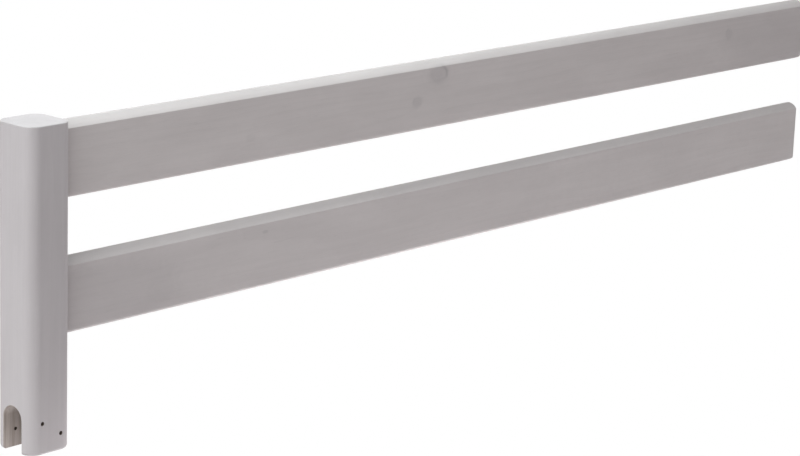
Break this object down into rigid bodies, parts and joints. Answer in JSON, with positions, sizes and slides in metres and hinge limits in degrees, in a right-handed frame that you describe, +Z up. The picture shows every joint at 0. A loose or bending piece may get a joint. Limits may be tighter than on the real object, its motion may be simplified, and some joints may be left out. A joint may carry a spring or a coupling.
{
  "type": "bed guard rail",
  "caption": "Wooden guard rail for the side of a child's bed: a square post with a forked foot carries horizontal planks that run to free ends.",
  "frame": {"origin": "on the post's vertical axis, in the middle of the fork's slot, level with the foot", "axes": "+X along the rails from the post to their free ends, +Y from the front to the back, +Z up"},
  "size_m": [1.4773, 0.06, 0.365],
  "materials": {
    "grey_washed_wood": "pale grey wash over fine-grained wood, satin",
    "bare_beech": "bare wood",
    "zinc_plate": "zinc-plated steel"
  },
  "bodies": {
    "root": {"post": "grey_washed_wood", "upper_rail": "grey_washed_wood", "lower_rail": "grey_washed_wood", "upper_rail_dowel_top": "bare_beech", "upper_rail_dowel_bottom": "bare_beech", "lower_rail_dowel_top": "bare_beech", "lower_rail_dowel_bottom": "bare_beech", "upper_rail_insert": "zinc_plate", "lower_rail_insert": "zinc_plate"}
  },
  "joints": []
}
